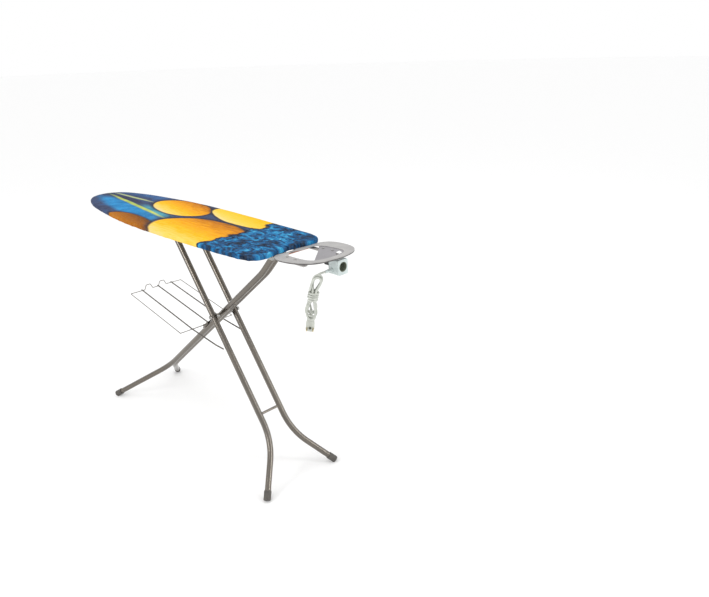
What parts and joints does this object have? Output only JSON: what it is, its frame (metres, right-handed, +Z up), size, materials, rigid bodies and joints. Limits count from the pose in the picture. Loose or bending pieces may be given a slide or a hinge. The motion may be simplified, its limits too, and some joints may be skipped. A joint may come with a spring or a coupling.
{
  "type": "ironing board",
  "caption": "Free-standing ironing board with printed cover, height-adjustable scissor legs, wire linen shelf, iron rest and mains outlet with coiled cord.",
  "frame": {"origin": "middle of the footprint box on the floor, cord left out", "axes": "+X along the board from the nose to the iron rest, +Y to the side the outlet hangs on, +Z up"},
  "size_m": [1.379, 0.3336, 0.85],
  "materials": {
    "cover_cloth": "printed cotton",
    "felt": "felt",
    "elastic": "elastic",
    "board_steel": "satin",
    "leg_steel": "satin silver",
    "zinc": "zinc plated",
    "shelf_wire": "satin silver",
    "foot_plastic": "matt",
    "bush_plastic": "matt",
    "grip_plastic": "satin",
    "rest_enamel": "satin",
    "tray_grey": "satin",
    "bracket_black": "satin",
    "outlet_plastic": "gloss",
    "cord_rubber": "satin",
    "plug_plastic": "satin",
    "brass": "nickel"
  },
  "bodies": {
    "board": {"cover": "cover_cloth", "felt_pad": "felt", "board_panel": "board_steel", "edge_frame": "board_steel", "cover_drawcord": "elastic", "cross_braces": "board_steel", "leg_bracket": "board_steel", "bracket_pin": "zinc", "slide_rail_left": "board_steel", "slide_rail_right": "board_steel", "lever_bracket": "board_steel", "lever_pin": "zinc", "lever_spring": "zinc", "iron_rest": "rest_enamel", "rest_tray": "tray_grey", "rest_arms": "board_steel", "rest_rivets": "zinc", "outlet_housing": "outlet_plastic", "outlet_insert": "outlet_plastic", "outlet_bracket": "bracket_black", "cable_gland": "outlet_plastic", "cord_run": "cord_rubber", "cord_hank": "cord_rubber", "plug_body": "plug_plastic", "plug_pins": "brass"},
    "twin_legs": {"twin_leg_left": "leg_steel", "twin_leg_right": "leg_steel", "twin_foot_left": "foot_plastic", "twin_foot_right": "foot_plastic", "bracket_bushes": "bush_plastic", "shelf_clip": "leg_steel", "pivot_bolt": "zinc", "pivot_washers": "zinc", "pivot_spacers": "zinc", "pivot_nut": "zinc"},
    "round_legs": {"round_leg_left": "leg_steel", "round_leg_right": "leg_steel", "round_foot_left": "foot_plastic", "round_foot_right": "foot_plastic", "crossbar": "leg_steel", "slide_bar": "zinc", "slide_bushes": "bush_plastic", "slide_bar_caps": "zinc"},
    "shelf": {"shelf_outer_wire": "shelf_wire", "shelf_cross_wire": "shelf_wire", "shelf_wire_left": "shelf_wire", "shelf_wire_middle": "shelf_wire", "shelf_wire_right": "shelf_wire"},
    "lever": {"height_comb": "board_steel", "lever_rod": "zinc", "lever_grip": "grip_plastic"}
  },
  "joints": [
    {"name": "leg_fold", "type": "hinge", "parent": "board", "child": "twin_legs", "pos_m": [0.467, 0, 0.815], "axis": [0, 1, 0], "range_deg": [-3, 33]},
    {"name": "leg_scissor", "type": "hinge", "parent": "twin_legs", "child": "round_legs", "pos_m": [0.1364, 0, 0.5277], "axis": [0, -1, 0], "range_deg": [-8, 81]},
    {"name": "shelf_swing", "type": "hinge", "parent": "twin_legs", "child": "shelf", "pos_m": [0.013, 0, 0.4497], "axis": [0, -1, 0], "range_deg": [-4, 41]},
    {"name": "height_lever", "type": "hinge", "parent": "board", "child": "lever", "pos_m": [0.139, 0, 0.824], "axis": [0, 1, 0], "range_deg": [0, 2.2], "stiffness_Nm_per_rad": 3, "springref_deg": -5.73, "deforming": ["lever_spring"]}
  ],
  "couplings": [
    {"joint": "leg_scissor", "follows": "leg_fold", "ratio": 2.42},
    {"joint": "shelf_swing", "follows": "leg_fold", "ratio": 1.22}
  ]
}
